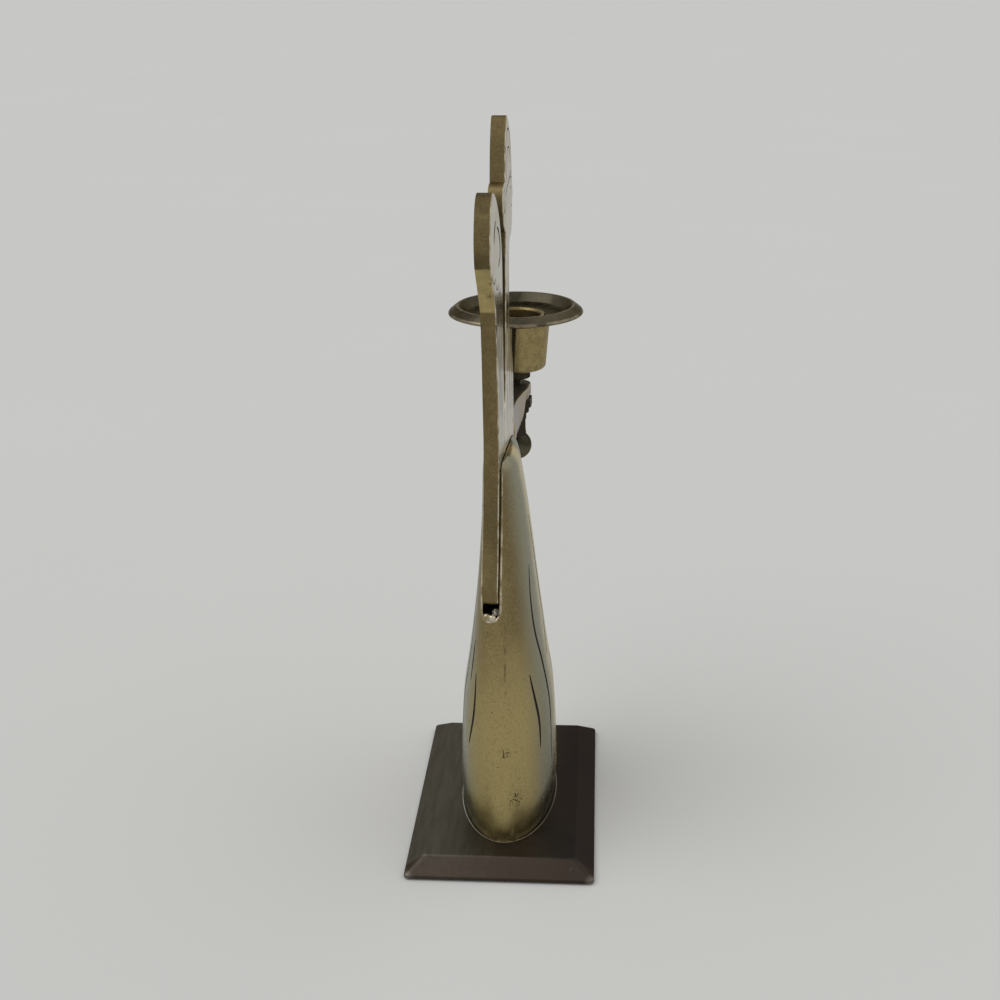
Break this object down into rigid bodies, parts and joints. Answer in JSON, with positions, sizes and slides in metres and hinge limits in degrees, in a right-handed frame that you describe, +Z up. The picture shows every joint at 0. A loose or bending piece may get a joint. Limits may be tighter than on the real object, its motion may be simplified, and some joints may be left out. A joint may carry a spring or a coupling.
{
  "type": "candle holder",
  "caption": "Flat brass angel in profile on a bevelled rectangular foot, with a hollow robe, a wing and an arm that holds out one candle cup with a drip pan",
  "frame": {"origin": "on the underside of the felt, under the middle of the robe, which stands 1.2 mm to the +X side of the foot's centre", "axes": "+Z up; +Y the way the angel faces, along the long side of the foot; +X across the foot"},
  "size_m": [0.083, 0.165, 0.3154],
  "materials": {
    "felt": "dark green felt",
    "dark_bronze": "brass with a dark brown patina",
    "aged_brass": "aged brass, polished on the broad faces",
    "polished_brass": "polished brass",
    "steel": "plain steel hardware"
  },
  "bodies": {
    "stand": {"base_felt": "felt", "base_plate": "dark_bronze", "robe_shell": "aged_brass", "base_washer_front": "steel", "base_screw_front": "steel", "base_washer_rear": "steel", "base_screw_rear": "steel", "wing_plate": "aged_brass", "figure_plate": "aged_brass", "wing_pin": "polished_brass", "figure_pin": "polished_brass", "arm": "polished_brass", "arm_pin": "polished_brass", "cup_rod": "steel", "cone_washer": "dark_bronze", "cup_nut": "aged_brass", "lock_nut": "dark_bronze", "finial_ring": "dark_bronze"},
    "cup": {"candle_cup": "aged_brass"},
    "pan": {"drip_pan": "dark_bronze"},
    "finial": {"drop_finial": "dark_bronze"}
  },
  "joints": [
    {"name": "cup_turn", "type": "hinge", "parent": "stand", "child": "cup", "pos_m": [0.00096, 0.06791, 0.21], "axis": [0, 0, 1], "continuous": true},
    {"name": "pan_lift", "type": "slide", "parent": "cup", "child": "pan", "axis": [0, 0, 1], "range_m": [0, 0.02]},
    {"name": "finial_turn", "type": "hinge", "parent": "stand", "child": "finial", "pos_m": [0.00096, 0.06791, 0.16], "axis": [0, 0, 1], "continuous": true}
  ]
}
